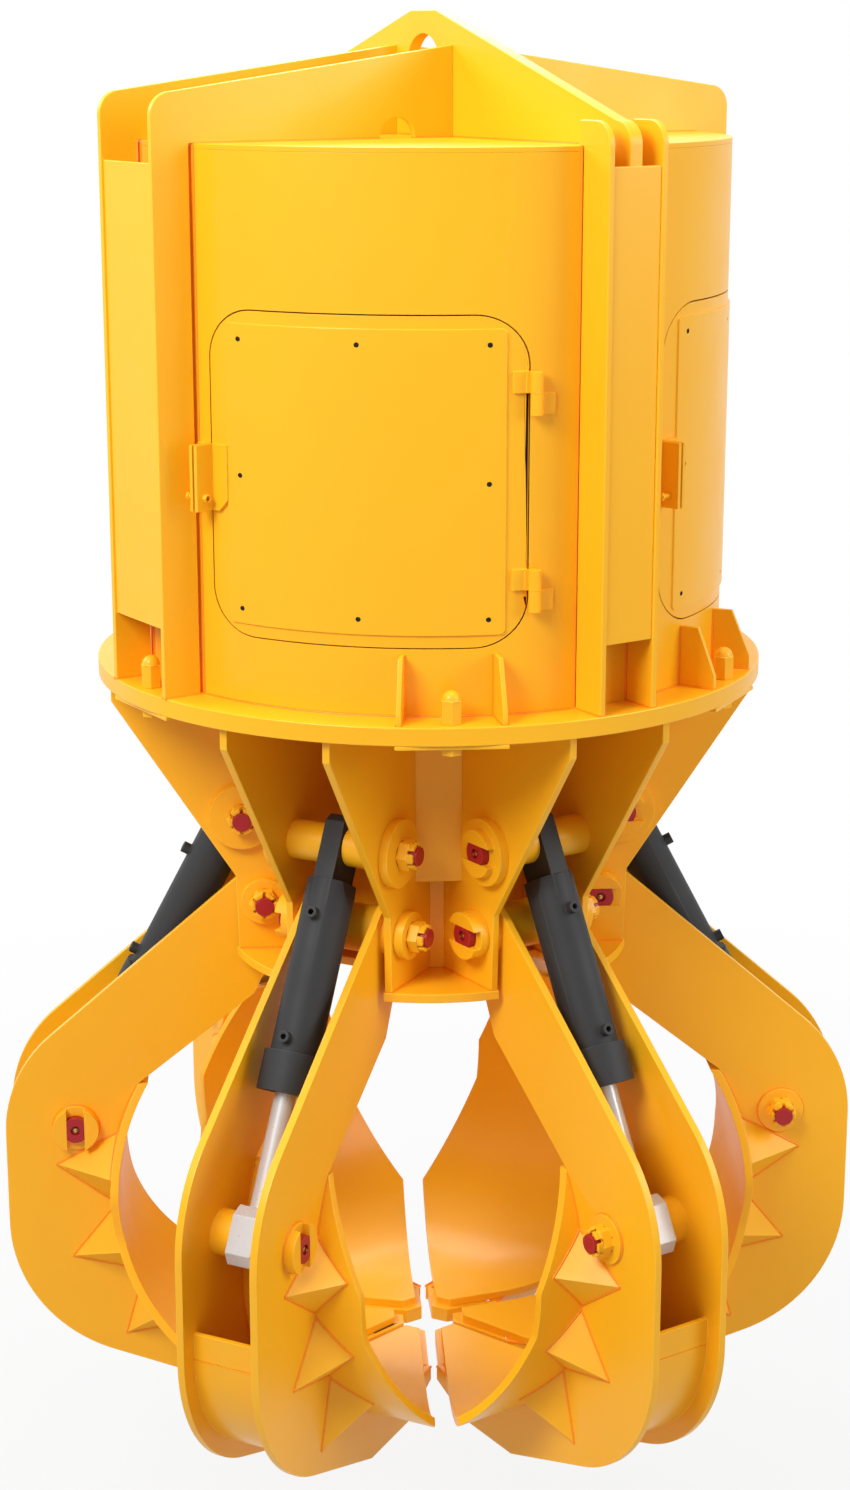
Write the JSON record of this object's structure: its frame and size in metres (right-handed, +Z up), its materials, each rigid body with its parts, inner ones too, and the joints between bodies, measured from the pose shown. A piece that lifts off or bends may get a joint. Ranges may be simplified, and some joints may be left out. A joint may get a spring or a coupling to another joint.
{
  "type": "multi-jaw grapple",
  "caption": "Suspended electro-hydraulic grab: a drum power pack under a lifting eye, with curved shell jaws that hydraulic cylinders swing round a central hub.",
  "frame": {"origin": "centre of the lifting eye's bore, in the middle of the lifting plate", "axes": "+Z up through the eye, +X along the eye's bore, -Y toward the first claw; the jaws hang below"},
  "size_m": [2.0928, 2.286, 3.6653],
  "materials": {
    "yellow_paint": "gloss",
    "grey_paint": "satin",
    "black_paint": "gloss",
    "rod_chrome": "polished",
    "red_steel": "satin"
  },
  "bodies": {
    "frame": {"lifting_plate": "yellow_paint", "main_fins": "yellow_paint", "cross_fins": "yellow_paint", "fin_closures": "yellow_paint", "drum_shell": "yellow_paint", "drum_lid": "yellow_paint", "flange_disc": "yellow_paint", "flange_gussets": "yellow_paint", "flange_bolts": "yellow_paint", "hub_core": "yellow_paint", "hub_floor": "yellow_paint", "hub_brackets": "yellow_paint", "hub_webs": "yellow_paint", "cylinder_pins": "red_steel", "hinge_pins": "red_steel", "pin_bosses": "yellow_paint", "pin_nuts": "yellow_paint", "cylinder_spacers": "yellow_paint", "door_brackets": "yellow_paint", "motor": "grey_paint", "oil_tank": "grey_paint"},
    "claw_1": {"claw_frame_1": "yellow_paint", "claw_shell_1": "yellow_paint", "claw_pin_1": "red_steel"},
    "cylinder_1": {"barrel_1": "black_paint"},
    "piston_1": {"rod_1": "rod_chrome"},
    "claw_2": {"claw_frame_2": "yellow_paint", "claw_shell_2": "yellow_paint", "claw_pin_2": "red_steel"},
    "cylinder_2": {"barrel_2": "black_paint"},
    "piston_2": {"rod_2": "rod_chrome"},
    "claw_3": {"claw_frame_3": "yellow_paint", "claw_shell_3": "yellow_paint", "claw_pin_3": "red_steel"},
    "cylinder_3": {"barrel_3": "black_paint"},
    "piston_3": {"rod_3": "rod_chrome"},
    "claw_4": {"claw_frame_4": "yellow_paint", "claw_shell_4": "yellow_paint", "claw_pin_4": "red_steel"},
    "cylinder_4": {"barrel_4": "black_paint"},
    "piston_4": {"rod_4": "rod_chrome"},
    "claw_5": {"claw_frame_5": "yellow_paint", "claw_shell_5": "yellow_paint", "claw_pin_5": "red_steel"},
    "cylinder_5": {"barrel_5": "black_paint"},
    "piston_5": {"rod_5": "rod_chrome"},
    "claw_6": {"claw_frame_6": "yellow_paint", "claw_shell_6": "yellow_paint", "claw_pin_6": "red_steel"},
    "cylinder_6": {"barrel_6": "black_paint"},
    "piston_6": {"rod_6": "rod_chrome"},
    "door_1": {"door_1": "yellow_paint"},
    "latch_1": {"latch_bolt_1": "yellow_paint"},
    "door_2": {"door_2": "yellow_paint"},
    "latch_2": {"latch_bolt_2": "yellow_paint"},
    "door_3": {"door_3": "yellow_paint"},
    "latch_3": {"latch_bolt_3": "yellow_paint"},
    "door_4": {"door_4": "yellow_paint"},
    "latch_4": {"latch_bolt_4": "yellow_paint"}
  },
  "joints": [
    {"name": "claw_hinge_1", "type": "hinge", "parent": "frame", "child": "claw_1", "pos_m": [0, -0.44, -2.12], "axis": [-1, 0, 0], "range_deg": [0, 60]},
    {"name": "cylinder_hinge_1", "type": "hinge", "parent": "frame", "child": "cylinder_1", "pos_m": [0, -0.495, -1.89], "axis": [-1, 0, 0], "range_deg": [0, 54]},
    {"name": "rod_slide_1", "type": "slide", "parent": "cylinder_1", "child": "piston_1", "axis": [0, -0.4653, -0.8851], "range_m": [-0.216, 0]},
    {"name": "claw_hinge_2", "type": "hinge", "parent": "frame", "child": "claw_2", "pos_m": [0.38105, -0.22, -2.12], "axis": [-0.5, -0.866, 0], "range_deg": [0, 60]},
    {"name": "cylinder_hinge_2", "type": "hinge", "parent": "frame", "child": "cylinder_2", "pos_m": [0.42868, -0.2475, -1.89], "axis": [-0.5, -0.866, 0], "range_deg": [0, 54]},
    {"name": "rod_slide_2", "type": "slide", "parent": "cylinder_2", "child": "piston_2", "axis": [0.403, -0.2327, -0.8851], "range_m": [-0.216, 0]},
    {"name": "claw_hinge_3", "type": "hinge", "parent": "frame", "child": "claw_3", "pos_m": [0.38105, 0.22, -2.12], "axis": [0.5, -0.866, 0], "range_deg": [0, 60]},
    {"name": "cylinder_hinge_3", "type": "hinge", "parent": "frame", "child": "cylinder_3", "pos_m": [0.42868, 0.2475, -1.89], "axis": [0.5, -0.866, 0], "range_deg": [0, 54]},
    {"name": "rod_slide_3", "type": "slide", "parent": "cylinder_3", "child": "piston_3", "axis": [0.403, 0.2327, -0.8851], "range_m": [-0.216, 0]},
    {"name": "claw_hinge_4", "type": "hinge", "parent": "frame", "child": "claw_4", "pos_m": [0, 0.44, -2.12], "axis": [1, 0, 0], "range_deg": [0, 60]},
    {"name": "cylinder_hinge_4", "type": "hinge", "parent": "frame", "child": "cylinder_4", "pos_m": [0, 0.495, -1.89], "axis": [1, 0, 0], "range_deg": [0, 54]},
    {"name": "rod_slide_4", "type": "slide", "parent": "cylinder_4", "child": "piston_4", "axis": [0, 0.4653, -0.8851], "range_m": [-0.216, 0]},
    {"name": "claw_hinge_5", "type": "hinge", "parent": "frame", "child": "claw_5", "pos_m": [-0.38105, 0.22, -2.12], "axis": [0.5, 0.866, 0], "range_deg": [0, 60]},
    {"name": "cylinder_hinge_5", "type": "hinge", "parent": "frame", "child": "cylinder_5", "pos_m": [-0.42868, 0.2475, -1.89], "axis": [0.5, 0.866, 0], "range_deg": [0, 54]},
    {"name": "rod_slide_5", "type": "slide", "parent": "cylinder_5", "child": "piston_5", "axis": [-0.403, 0.2327, -0.8851], "range_m": [-0.216, 0]},
    {"name": "claw_hinge_6", "type": "hinge", "parent": "frame", "child": "claw_6", "pos_m": [-0.38105, -0.22, -2.12], "axis": [-0.5, 0.866, 0], "range_deg": [0, 60]},
    {"name": "cylinder_hinge_6", "type": "hinge", "parent": "frame", "child": "cylinder_6", "pos_m": [-0.42868, -0.2475, -1.89], "axis": [-0.5, 0.866, 0], "range_deg": [0, 54]},
    {"name": "rod_slide_6", "type": "slide", "parent": "cylinder_6", "child": "piston_6", "axis": [-0.403, -0.2327, -0.8851], "range_m": [-0.216, 0]},
    {"name": "door_hinge_1", "type": "hinge", "parent": "frame", "child": "door_1", "pos_m": [-0.19977, -0.7457, -0.9535], "axis": [0, 0, 1], "range_deg": [0, 110]},
    {"name": "latch_slide_1", "type": "slide", "parent": "frame", "child": "latch_1", "axis": [-0.2352, 0.972, 0], "range_m": [-0.026, 0]},
    {"name": "door_hinge_2", "type": "hinge", "parent": "frame", "child": "door_2", "pos_m": [0.7457, -0.19977, -0.9535], "axis": [0, 0, 1], "range_deg": [0, 110]},
    {"name": "latch_slide_2", "type": "slide", "parent": "frame", "child": "latch_2", "axis": [-0.972, -0.2352, 0], "range_m": [-0.026, 0]},
    {"name": "door_hinge_3", "type": "hinge", "parent": "frame", "child": "door_3", "pos_m": [0.19977, 0.7457, -0.9535], "axis": [0, 0, 1], "range_deg": [0, 110]},
    {"name": "latch_slide_3", "type": "slide", "parent": "frame", "child": "latch_3", "axis": [0.2352, -0.972, 0], "range_m": [-0.026, 0]},
    {"name": "door_hinge_4", "type": "hinge", "parent": "frame", "child": "door_4", "pos_m": [-0.7457, 0.19977, -0.9535], "axis": [0, 0, 1], "range_deg": [0, 110]},
    {"name": "latch_slide_4", "type": "slide", "parent": "frame", "child": "latch_4", "axis": [0.972, 0.2352, 0], "range_m": [-0.026, 0]}
  ],
  "couplings": [
    {"joint": "cylinder_hinge_1", "follows": "claw_hinge_1", "ratio": 0.885},
    {"joint": "rod_slide_1", "follows": "claw_hinge_1", "m_per_rad": -0.2045},
    {"joint": "cylinder_hinge_2", "follows": "claw_hinge_2", "ratio": 0.885},
    {"joint": "rod_slide_2", "follows": "claw_hinge_2", "m_per_rad": -0.2045},
    {"joint": "cylinder_hinge_3", "follows": "claw_hinge_3", "ratio": 0.885},
    {"joint": "rod_slide_3", "follows": "claw_hinge_3", "m_per_rad": -0.2045},
    {"joint": "cylinder_hinge_4", "follows": "claw_hinge_4", "ratio": 0.885},
    {"joint": "rod_slide_4", "follows": "claw_hinge_4", "m_per_rad": -0.2045},
    {"joint": "cylinder_hinge_5", "follows": "claw_hinge_5", "ratio": 0.885},
    {"joint": "rod_slide_5", "follows": "claw_hinge_5", "m_per_rad": -0.2045},
    {"joint": "cylinder_hinge_6", "follows": "claw_hinge_6", "ratio": 0.885},
    {"joint": "rod_slide_6", "follows": "claw_hinge_6", "m_per_rad": -0.2045}
  ]
}
